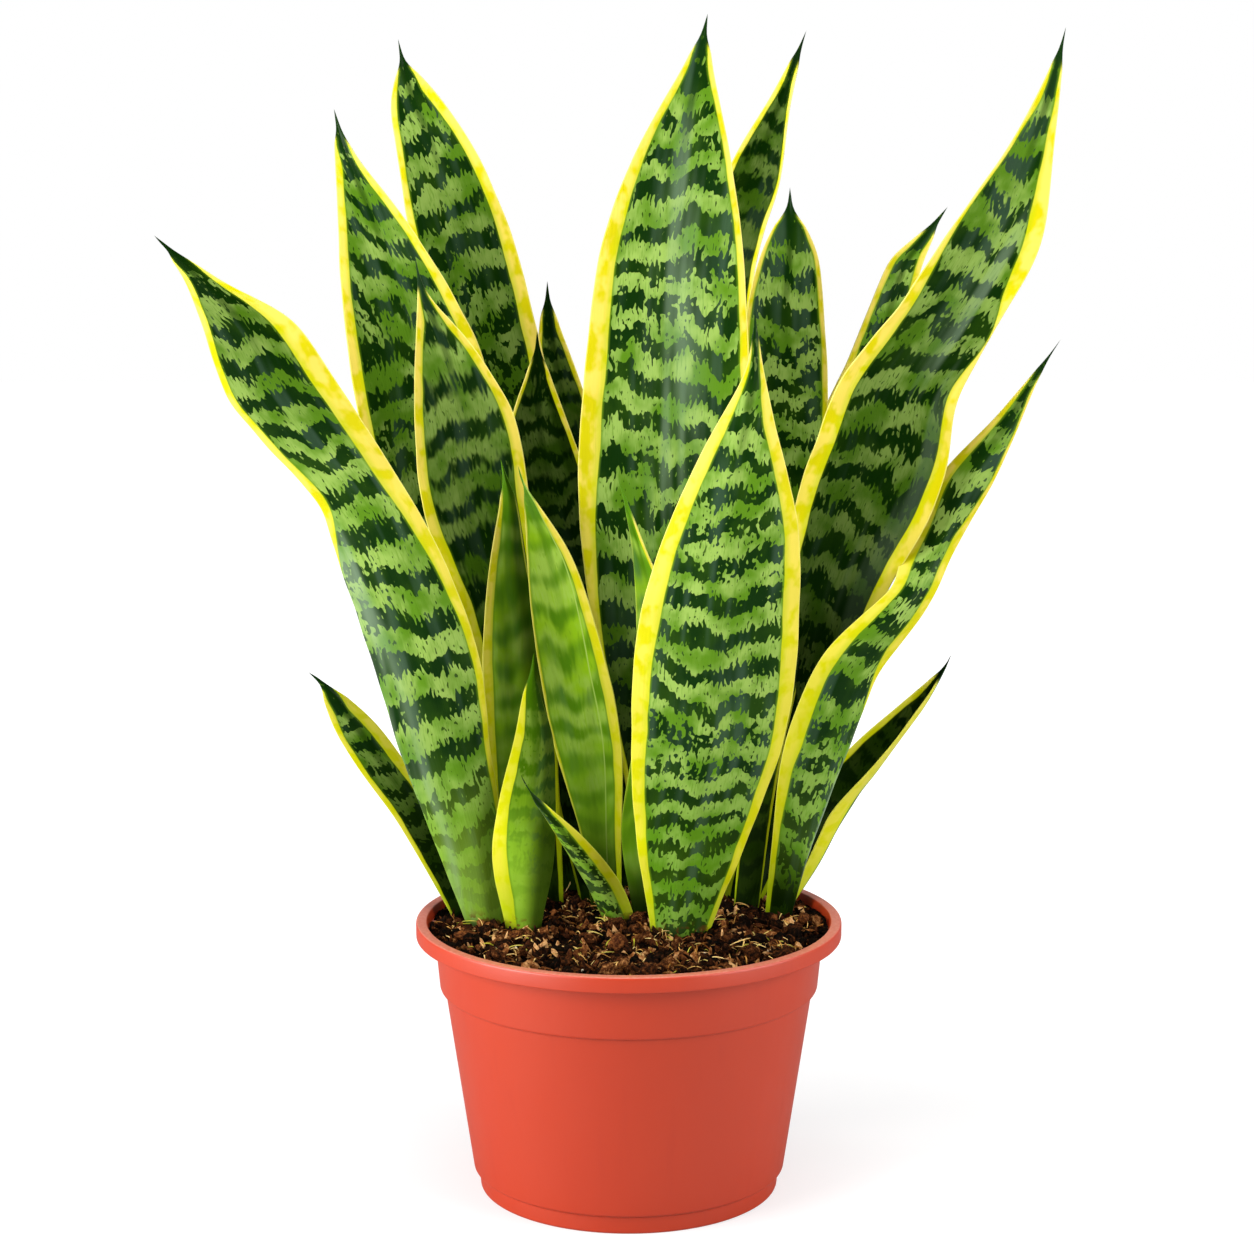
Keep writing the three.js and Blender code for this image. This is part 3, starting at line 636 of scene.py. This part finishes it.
def make_leaf_skin(name, dark, light, bright, softness, lightness):
    """Waxy leaf skin: toothed light bands on dark green, a yellow margin with creamy patches, a lime
    base with small rusty marks where the blade leaves the soil, and fine grain along the blade.
    Painted light too: painted shade from the stored shade and down the keel, painted sheen streaks
    and fold sheen, a painted rim highlight on the margin and painted green light on low margins."""
    material, tree, shader = new_material(name)
    blade = add(tree, "Attribute", attribute_name="blade").outputs["Vector"]
    across = three_values(tree, "blade")[0]
    inside, to_tip, above_soil = three_values(tree, "reach")
    edge, width, pale = three_values(tree, "trim")
    fold_sheen, margin_shade, _ = three_values(tree, "painted_sheen_and_shade")
    _, shade, crease = three_values(tree, "smear_shade_crease")
    is_light, drawn = light_bands(tree, blade, softness, lightness)

    cloud = noise(tree, blade, (75, 55, 2), detail=3)
    rays = noise(tree, drawn, (1300, 200, 5), detail=2)
    # The light bands turn darker and greener towards the soil: painted shade low in the rosette.
    light_tone = layered(
        tree, light, (ramp(tree, cloud, 0.38, 0.62), bright), (ramp(tree, rays, 0.5, 0.3, 0, 0.5), light),
        (ramp(tree, above_soil, 0.02, 0.11, 0.5, 0), paint(84, 142, 20)))
    dusk = noise(tree, blade, (90, 60, 7), detail=2)
    # Painted sheen: the sheen noise lays soft grey-blue streaks up the dark bands, for reflections of the
    # side lights.
    sheen = noise(tree, blade, (170, 12, 9), detail=1)
    dark_tone = layered(
        tree, dark, (ramp(tree, dusk, 0.42, 0.7, 0, 0.4), mix(tree, 0.3, dark, light)),
        (ramp(tree, sheen, 0.48, 0.72, 0, 0.35), paint(84, 112, 92)))
    # Painted shade down the keel near the tip, where the blade folds.
    midline = ramp(tree, calculate(tree, "ABSOLUTE", across), 0.0005, 0.0024, 1, 0)
    keel = product(tree, ramp(tree, to_tip, 0.02, 0.08, 0.7, 0), midline)
    base = product(tree, ramp(tree, above_soil, 0.0, 0.08, 1, 0), pale)
    inner = total(tree, inside, centred(tree, 0.0012, blade, (120, 60, 2), detail=1))
    has_margin = ramp(tree, width, 0.0002, 0.0008)
    lime = product(tree, ramp(tree, inner, 0.0, 0.0011, 0.75, 0), has_margin)
    # The fold's painted sheen, broken up by the sheen streaks.
    fold_sheen = product(tree, fold_sheen, ramp(tree, sheen, 0.35, 0.62))
    on_crease = ramp(tree, calculate(tree, "ABSOLUTE", crease), 0.0001, 0.0004, 0.85, 0)
    green = layered(
        tree, dark_tone, (is_light, light_tone), (keel, dark), (base, paint(156, 200, 60)),
        (lime, paint(104, 146, 20)), (fold_sheen, paint(158, 184, 148)), (on_crease, paint(176, 208, 92)),
        # painted shade last: the stored shade darkens the green
        (shade, paint(6, 22, 1)))

    cream = noise(tree, blade, (170, 115, 5), detail=2)
    depth = calculate(tree, "DIVIDE", inner, calculate(tree, "MAXIMUM", width, 0.001))
    yellow = layered(
        tree, paint(222, 209, 12), (ramp(tree, cream, 0.38, 0.56), paint(247, 222, 94)),
        # painted highlight: a thin cream line on the margin's edge, for light caught from behind
        (ramp(tree, edge, 0.0001, 0.0006, 0.6, 0), paint(250, 240, 140)),
        # margin_shade is painted shade on the margin low down
        (ramp(tree, depth, -0.5, -0.02, 0, 0.6), paint(190, 204, 16)), (margin_shade, paint(24, 26, 1)),
        # painted green light: margins lower down turn lime, as in shade lit by light off the leaves
        (ramp(tree, above_soil, 0.02, 0.24, 0.65, 0), paint(206, 214, 8)),
        (ramp(tree, above_soil, 0.0, 0.035, 0.6, 0), paint(160, 196, 24)))
    in_margin = product(tree, ramp(tree, inner, -0.0002, 0.0002, 1, 0), has_margin)
    rust = ramp(tree, noise(tree, blade, (420, 300, 4), detail=2), 0.52, 0.6)
    rust = product(tree, ramp(tree, above_soil, 0.001, 0.010, 1, 0), rust)
    rust = product(tree, rust, ramp(tree, shade, 0, 0.9, 1, 0))
    colour = layered(tree, green, (in_margin, yellow), (rust, paint(120, 62, 30)))
    tree.links.new(colour, shader.inputs["Base Color"])

    tree.links.new(ramp(tree, shade, 0, 0.7, 0.09, 0.01), shader.inputs["Specular IOR Level"])
    shine = noise(tree, blade, (60, 30, 6), detail=3)
    tree.links.new(ramp(tree, shine, 0.3, 0.7, 0.285, 0.36), shader.inputs["Roughness"])
    folds = product(tree, noise(tree, blade, (150, 5, 7), detail=1), 3.0)
    grain = total(tree, noise(tree, blade, (1500, 40, 7), detail=2), folds)
    roughen(tree, shader, 0.6, 0.0002, grain)
    return material


leaf_skin = make_leaf_skin(
    "leaf_skin", paint(13, 47, 4), paint(92, 138, 26), paint(155, 188, 88),
    softness=0.14, lightness=0.17)
young_skin = make_leaf_skin(
    "young_leaf_skin", paint(86, 138, 5), paint(146, 194, 22), paint(166, 204, 76),
    softness=0.4, lightness=0.3)
fresh_skin = make_leaf_skin(
    "fresh_leaf_skin", paint(10, 40, 4), paint(156, 210, 58), paint(200, 236, 108),
    softness=0.14, lightness=0.1)
for seed, (name, look) in enumerate(ADULT_LEAVES.items()):
    make_leaf(name, look, 10 * seed + 5, fresh_skin if name == "front_small" else leaf_skin, "leaf")
for seed, (name, look) in enumerate(YOUNG_LEAVES.items()):
    make_leaf(name, look, 10 * seed + 405, young_skin, "young_leaf")

# ------------------------------------------------------------
# Soil. A bark and fibre potting mix, poured round the roots and settled a little under the lip.
# The fill is one rough body; clods, crumbs, bark shards, root fibres and pale grit lie on it.
SOIL_GAP = 0.0003
SOIL_RADIUS = RIM_RADIUS - LIP_WIDTH - LIP_TAPER - SOIL_GAP
SOIL_SEGMENTS = 300
SOIL_RINGS = 150
SOIL_MOUND = 0.0012
SOIL_EDGE_RISE = 0.0016
SOIL_TINT = 0.15
LATTICE = 256
CLODS = 420
CRUMBS = 2600
SHARDS = 1300
FIBRES = 620
GRIT = 60


def lattice_noise(x, y, cell, seed):
    """Value noise between -1 and 1: random heights on a square lattice of the given cell, joined by
    a smooth S along both directions."""
    heights = np.random.default_rng(seed).uniform(-1, 1, (LATTICE, LATTICE))
    column = np.floor(x / cell).astype(int)
    row = np.floor(y / cell).astype(int)
    across = smooth_step(x / cell - column, 0, 1)
    up = smooth_step(y / cell - row, 0, 1)
    corner = [[heights[(row + j) % LATTICE, (column + i) % LATTICE] for i in (0, 1)] for j in (0, 1)]
    low = corner[0][0] * (1 - across) + corner[0][1] * across
    high = corner[1][0] * (1 - across) + corner[1][1] * across
    return low * (1 - up) + high * up


def soil_height(x, y):
    """Height of the mix: a low mound in the middle, a rise at the wall, and relief of three sizes,
    which halves towards the wall."""
    share = np.hypot(x, y) / SOIL_RADIUS
    relief = (0.0020 * lattice_noise(x, y, 0.010, 1) + 0.0013 * lattice_noise(x, y, 0.0045, 2)
              + 0.0006 * np.abs(lattice_noise(x, y, 0.0018, 3)))
    fill = SOIL_LEVEL + SOIL_MOUND * (1 - share ** 2) + SOIL_EDGE_RISE * share ** 6
    return fill + relief * (1 - 0.5 * share ** 8)


def lumps(base, scale, place, rough):
    """Copies of a base shape: jittered point by point, scaled, turned at random and set in place."""
    count = len(place)
    jitter = 1 + rough * random.uniform(-1, 1, (count, len(base), 1))
    spin, _ = np.linalg.qr(random.normal(size=(count, 3, 3)))
    spin *= np.sign(np.linalg.det(spin))[:, None, None]
    return np.einsum("nij,npj->npi", spin, base * jitter * scale[:, None]) + place[:, None]


def icosahedron():
    """The twelve points (0, +-1, +-g) and its turns, with g the golden ratio, brought to radius 1, and
    the twenty triangles whose three edges all have the shortest length, facing outwards."""
    golden = (1 + 5 ** 0.5) / 2
    signs = np.array([[a, b] for a in (-1, 1) for b in (-1, 1)])
    flat = np.column_stack([np.zeros(4), signs[:, 0], signs[:, 1] * golden])
    points = np.concatenate([np.roll(flat, k, axis=1) for k in range(3)])
    far = np.linalg.norm(points[:, None] - points[None], axis=2)
    near = np.isclose(far, 2)
    triples = np.array([[i, j, k] for i in range(12) for j in range(i) for k in range(j)
                        if near[i, j] and near[j, k] and near[i, k]])
    first, second, third = points[triples].transpose(1, 0, 2)
    facing = np.einsum("ni,ni->n", np.cross(second - first, third - first), first)
    triples[facing < 0] = triples[facing < 0][:, ::-1]
    return points / np.linalg.norm(points[0]), triples


def scattered(count, edge_gap, leaf_gap):
    """Random places on the soil, evenly over the disc, kept clear of the edge and the leaf bases."""
    tries = 3 * count
    turn = random.uniform(0, 2 * np.pi, tries)
    radius = (SOIL_RADIUS - edge_gap) * np.sqrt(random.uniform(0, 1, tries))
    spot = np.stack([radius * np.cos(turn), radius * np.sin(turn)], -1)
    ends = np.array(leaf_bases)
    start, run = ends[:, 0], ends[:, 1] - ends[:, 0]
    part = np.einsum("nli,li->nl", spot[:, None] - start, run) / (run ** 2).sum(1)
    nearest = start + np.clip(part, 0, 1)[..., None] * run
    far_enough = np.linalg.norm(spot[:, None] - nearest, axis=2).min(1) > leaf_gap
    return spot[far_enough][:count]


def set_tint(piece, values):
    """Stores the tint of each point of the piece, which chooses among its matter's tones."""
    attribute = piece.data.attributes.new("tint", "FLOAT", "POINT")
    attribute.data.foreach_set("value", values.astype(np.float32))


def scatter_piece(name, shape, faces, tints, material, slot, power=1.0):
    """Joins many small copies (count, points, 3) into one piece and gives each copy a random tint
    between the two tints, raised to a power that keeps most copies dark."""
    count, size = shape.shape[:2]
    all_faces = (faces[None] + size * np.arange(count)[:, None, None]).reshape(-1, faces.shape[1])
    piece = new_piece(name, shape.reshape(-1, 3), all_faces, smooth=False)
    set_tint(piece, np.repeat(random.uniform(*tints, count) ** power, size))
    finish_piece(piece, material, slot)


def make_mix_material(name, tones, roughness, relief, grain):
    """Dry crumbly matter: the piece's tint and a fine noise choose among the tones, dark to light."""
    material, tree, shader = new_material(name, Roughness=roughness, Specular_IOR_Level=0.05)
    place = add(tree, "TexCoord").outputs["Object"]
    tint = add(tree, "Attribute", attribute_name="tint").outputs["Fac"]
    fine = centred(tree, grain, place, (640, 640, 640), detail=4, roughness=0.7)
    colours = add(tree, "ValToRGB", {0: total(tree, tint, fine)})
    colours.color_ramp.elements[0].color = paint(*tones[0])
    colours.color_ramp.elements[1].color = paint(*tones[-1])
    for number, tone in enumerate(tones[1:-1], 1):
        colours.color_ramp.elements.new(number / (len(tones) - 1)).color = paint(*tone)
    tree.links.new(colours.outputs[0], shader.inputs["Base Color"])
    height = noise(tree, place, (1400, 1400, 1400), detail=4, roughness=0.7)
    roughen(tree, shader, relief, 0.0009, height)
    return material


def base_line(node):
    """A leaf's two margin points where it leaves the soil, seen from above."""
    middles, halves, _ = blade_frame(*blade_rings(node))
    level = np.abs(middles[:, 2] - SOIL_LEVEL).argmin()
    return [(middles[level] - halves[level])[:2], (middles[level] + halves[level])[:2]]


def make_soil():
    """The fill: rings of a rough top over the pot's inner wall and floor, turned and closed."""
    wall = rounded([[0, FLOOR_THICKNESS + SOIL_GAP, 0], *pot_inside(SOIL_GAP)])
    radius = np.linspace(1, 0.004, SOIL_RINGS) * SOIL_RADIUS
    outline = np.concatenate([wall, np.stack([radius[1:], np.full(SOIL_RINGS - 1, SOIL_LEVEL)], -1),
                              [[0, SOIL_LEVEL]]])
    soil = new_piece("potting_mix", *turned_shape(outline, SOIL_SEGMENTS))
    place = np.zeros(len(soil.data.vertices) * 3, np.float32)
    soil.data.vertices.foreach_get("co", place)
    place = place.reshape(-1, 3).astype(float)
    on_top = place[:, 2] > SOIL_LEVEL - 0.0001
    place[on_top, 2] = soil_height(place[on_top, 0], place[on_top, 1])
    soil.data.vertices.foreach_set("co", place.astype(np.float32).ravel())
    set_tint(soil, np.full(len(place), SOIL_TINT))
    finish_piece(soil, soil_matter, "soil", "soil")


def finer_ball(points, triangles):
    """Each triangle split in four at the middles of its edges, which are pushed out to radius 1."""
    corners = points[triangles]
    middles = (corners + np.roll(corners, -1, axis=1)) / 2
    middles /= np.linalg.norm(middles, axis=2, keepdims=True)
    a, b, c = corners.transpose(1, 0, 2)
    ab, bc, ca = middles.transpose(1, 0, 2)
    quarters = np.stack([[a, ab, ca], [ab, b, bc], [ca, bc, c], [ab, bc, ca]]).transpose(0, 2, 1, 3)
    shape, merged = np.unique(quarters.reshape(-1, 3).round(6), axis=0, return_inverse=True)
    return shape, merged.reshape(-1, 3)


def make_litter():
    """What lies on the fill: clods, crumbs, flat angular bark shards, curly root fibres and pale grit."""
    ball, triangles = icosahedron()
    fine_ball, fine_triangles = finer_ball(ball, triangles)

    def on_soil(spot, lift):
        """The places at the soil's height there, lifted."""
        return np.column_stack([spot, soil_height(*spot.T) + lift])

    spot = scattered(CLODS, edge_gap=0.004, leaf_gap=0.004)
    size = random.uniform(0.0014, 0.0040, (len(spot), 1)) * random.uniform(0.45, 1.2, (len(spot), 3))
    clods = lumps(fine_ball, size, on_soil(spot, random.uniform(-0.0005, 0.0016, len(spot))), 0.3)
    scatter_piece("soil_clods", clods, fine_triangles, (0.05, 0.72), soil_matter, "soil")

    spot = scattered(CRUMBS, edge_gap=0.002, leaf_gap=0.0018)
    size = random.uniform(0.0005, 0.0015, (len(spot), 1)) * random.uniform(0.7, 1.3, (len(spot), 3))
    crumbs = lumps(ball, size, on_soil(spot, 0.0003), 0.3)
    scatter_piece("soil_crumbs", crumbs, triangles, (0, 0.75), soil_matter, "soil")

    spot = scattered(SHARDS, edge_gap=0.005, leaf_gap=0.003)
    length = random.uniform(0.0014, 0.0052, len(spot))
    size = np.column_stack([length, length * random.uniform(0.22, 0.5, len(spot)),
                            length * random.uniform(0.08, 0.2, len(spot))])
    shards = lumps(ball, size, on_soil(spot, 0.0007), 0.35)
    scatter_piece("bark_shards", shards, triangles, (0, 1), bark_matter, "bark", power=2.4)

    spot = scattered(FIBRES, edge_gap=0.006, leaf_gap=0.003)
    fibres, tube = curly_fibres(on_soil(spot, 0.0006))
    scatter_piece("root_fibres", fibres, tube, (0, 1), fibre_matter, "bark")

    spot = scattered(GRIT, edge_gap=0.004, leaf_gap=0.003)
    size = random.uniform(0.0002, 0.0005, (len(spot), 1)) * random.uniform(0.6, 2.4, (len(spot), 3))
    grit = lumps(ball, size, on_soil(spot, 0.0014), 0.2)
    scatter_piece("pale_grit", grit, triangles, (0, 1), grit_matter, "soil")


def curly_fibres(start, steps=11, sides=4):
    """Thin tubes: each path arcs over the soil in a low hump and rises to its far end while its heading
    turns steadily, and a small square section is carried along it, narrowing to both ends."""
    count = len(start)
    t = np.linspace(0, 1, steps)
    reach = random.uniform(0.002, 0.010, (count, 1))
    heading = random.uniform(0, 2 * np.pi, (count, 1)) + random.uniform(-0.9, 0.9, (count, 1)) * t
    move = np.stack([np.cos(heading), np.sin(heading)], -1) * (reach / steps)[..., None]
    flat = start[:, None, :2] + np.cumsum(move, axis=1)
    hump = 4 * t * (1 - t) * random.uniform(0.0002, 0.0012, (count, 1))
    hump = hump + t * random.uniform(0, 0.0034, (count, 1))
    inside = np.minimum(1, (SOIL_RADIUS - 0.002) / np.maximum(np.linalg.norm(flat, axis=2), 1e-6))
    flat = flat * inside[..., None]
    path = np.concatenate([flat, (start[:, None, 2] + hump)[..., None]], axis=2)
    side = np.stack([-np.sin(heading), np.cos(heading), 0 * heading], -1)
    up = np.array([0, 0, 1.0])
    thick = random.uniform(0.00011, 0.00028, (count, 1)) * (0.35 + 0.65 * np.sin(np.pi * t))
    turn = 2 * np.pi * np.arange(sides) / sides
    ring = (side[:, :, None] * np.cos(turn)[:, None] + up * np.sin(turn)[:, None]) * thick[..., None, None]
    points = (path[:, :, None] + ring).reshape(count, -1, 3)
    caps = np.array([np.arange(sides)[::-1], (steps - 1) * sides + np.arange(sides)])
    return points, np.concatenate([grid_faces(steps, sides), caps])


leaf_bases = [base_line(node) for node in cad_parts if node.startswith("leaf_")]
soil_matter = make_mix_material(
    "soil_matter", [(2, 1, 0), (24, 10, 3), (84, 44, 18), (172, 120, 70)],
    roughness=0.85, relief=0.9, grain=1.9)
bark_matter = make_mix_material(
    "bark_matter", [(10, 4, 1), (66, 32, 13), (134, 80, 38), (220, 170, 112)],
    roughness=0.7, relief=0.5, grain=1.5)
fibre_matter = make_mix_material(
    "fibre_matter", [(92, 48, 16), (164, 106, 46), (216, 166, 86), (244, 208, 134), (190, 190, 50)],
    roughness=0.7, relief=0.2, grain=0.25)
grit_matter = make_mix_material(
    "grit_matter", [(190, 156, 116), (250, 238, 208)], roughness=0.7, relief=0.2, grain=0.3)
make_soil()
make_litter()

# ------------------------------------------------------------
# Bark pieces. Larger lumps of composted pine bark that lie loose on the mix: rough, cracked and
# reddish brown, with rounded corners.
BARK_ROWS = 40
BARK_COLUMNS = 56
BARK_FILL = 0.86
BARK_TINT = 0.4


def make_bark(node):
    """A lump in its CAD node's box: a sphere that fills most of the box and whose radius swells and
    cracks with lattice noise on its own surface, stretched to the box's size."""
    low, high = (np.array(corner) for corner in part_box(node))
    rise = np.linspace(0, np.pi, BARK_ROWS + 2)[1:-1, None]
    turn = np.linspace(0, 2 * np.pi, BARK_COLUMNS, endpoint=False)
    ball = np.stack([np.sin(rise) * np.cos(turn), np.sin(rise) * np.sin(turn), -np.cos(rise) + 0 * turn], -1)
    seed = sum(map(ord, node))
    rough = (0.16 * lattice_noise(ball[..., 0] + ball[..., 2], ball[..., 1] - 0.6 * ball[..., 2], 0.55, seed)
             + 0.08 * lattice_noise(ball[..., 0] - ball[..., 2], ball[..., 1] + ball[..., 2], 0.2, seed + 1))
    ball = (ball * (BARK_FILL + rough)[..., None]).reshape(-1, 3)
    poles = np.array([[0, 0, -BARK_FILL], [0, 0, BARK_FILL]])
    points = np.concatenate([ball, poles]) * (high - low) / 2 + (low + high) / 2
    piece = new_piece(node.replace("bark", "loose"), points, *closed_faces(BARK_ROWS, BARK_COLUMNS))
    set_tint(piece, np.full(len(points), BARK_TINT))
    finish_piece(piece, bark_matter, "bark", node)


for node in sorted(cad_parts):
    if node.startswith("bark_"):
        make_bark(node)

# ------------------------------------------------------------
# Studio. A white paper floor and backdrop, a wide soft panel in front on each side, the left one
# stronger, a soft light overhead, and the camera a little below the tallest tip, looking down.
FLOOR_REACH = 4.0
CAMERA_DISTANCE = 1.1
CAMERA_HEIGHT = 0.4128
CAMERA_TILT = 9.55
LENS = 81.36
FRAME_SHIFT = -0.00144
WHITE = (1.0, 1.0, 1.0, 1.0)


def area_light(name, place, target, width, height, power):
    """A rectangular soft light that faces its target and isn't seen itself."""
    data = bpy.data.lights.new(name, "AREA")
    data.shape = "RECTANGLE"
    data.size = width
    data.size_y = height
    data.energy = power
    light = bpy.data.objects.new(name, data)
    light.location = place
    facing = np.subtract(target, place)
    light.rotation_euler = (np.arctan2(np.hypot(facing[0], facing[1]), -facing[2]), 0,
                            np.arctan2(facing[1], facing[0]) - np.pi / 2)
    light.visible_camera = False
    bpy.context.scene.collection.objects.link(light)


def make_floor():
    """A paper floor. It glows a little for the camera alone, and whiter further out, as lit paper does
    that curves up to a backdrop, so that no horizon shows and only soft shadows are left."""
    corners = FLOOR_REACH * np.array([[-1, -1, 0], [1, -1, 0], [1, 1, 0], [-1, 1, 0]])
    floor = new_piece("floor", corners, np.array([[0, 1, 2, 3]]))
    material, tree, shader = new_material("floor_paper", Base_Color=(0.4, 0.4, 0.4, 1), Roughness=0.9,
                                          Specular_IOR_Level=0.0, Emission_Color=WHITE)
    place = add(tree, "TexCoord").outputs["Object"]
    distance = add(tree, "VectorMath", {0: place}, operation="LENGTH").outputs["Value"]
    seen = add(tree, "LightPath").outputs["Is Camera Ray"]
    glow = product(tree, ramp(tree, distance, 0.12, 0.8, 0.66, 1.0), seen)
    tree.links.new(glow, shader.inputs["Emission Strength"])
    floor.data.materials.append(material)


def make_surround():
    """A white backdrop that lights the plant from behind and from the sides; the camera's side is dim."""
    world = bpy.data.worlds.new("surround")
    world.use_nodes = True
    tree = world.node_tree
    direction = add(tree, "SeparateXYZ", {0: add(tree, "TexCoord").outputs["Generated"]}).outputs[1]
    seen = add(tree, "LightPath").outputs["Is Camera Ray"]
    strength = calculate(tree, "MAXIMUM", ramp(tree, direction, -0.5, 0.8, 0.03, 0.36), seen)
    tree.nodes["Background"].inputs["Color"].default_value = WHITE
    tree.links.new(strength, tree.nodes["Background"].inputs["Strength"])
    bpy.context.scene.world = world


def make_camera():
    """The camera, in line with the pot's axis."""
    data = bpy.data.cameras.new("camera")
    data.lens = LENS
    data.shift_x = FRAME_SHIFT
    camera = bpy.data.objects.new("camera", data)
    camera.location = (0, -CAMERA_DISTANCE, CAMERA_HEIGHT)
    camera.rotation_euler = (np.radians(90 - CAMERA_TILT), 0, 0)
    bpy.context.scene.collection.objects.link(camera)
    bpy.context.scene.camera = camera


make_floor()
make_surround()
make_camera()
area_light("left_panel", (-1.3, -0.68, 0.5), (0, 0, 0.2), 1.2, 1.1, 39)
area_light("right_panel", (1.32, -0.6, 0.6), (0, 0, 0.2), 1.3, 1.1, 22.5)
area_light("overhead", (0, -0.3, 1.55), (0, 0, 0.1), 0.8, 0.8, 12)
bpy.context.scene.view_settings.view_transform = "Standard"
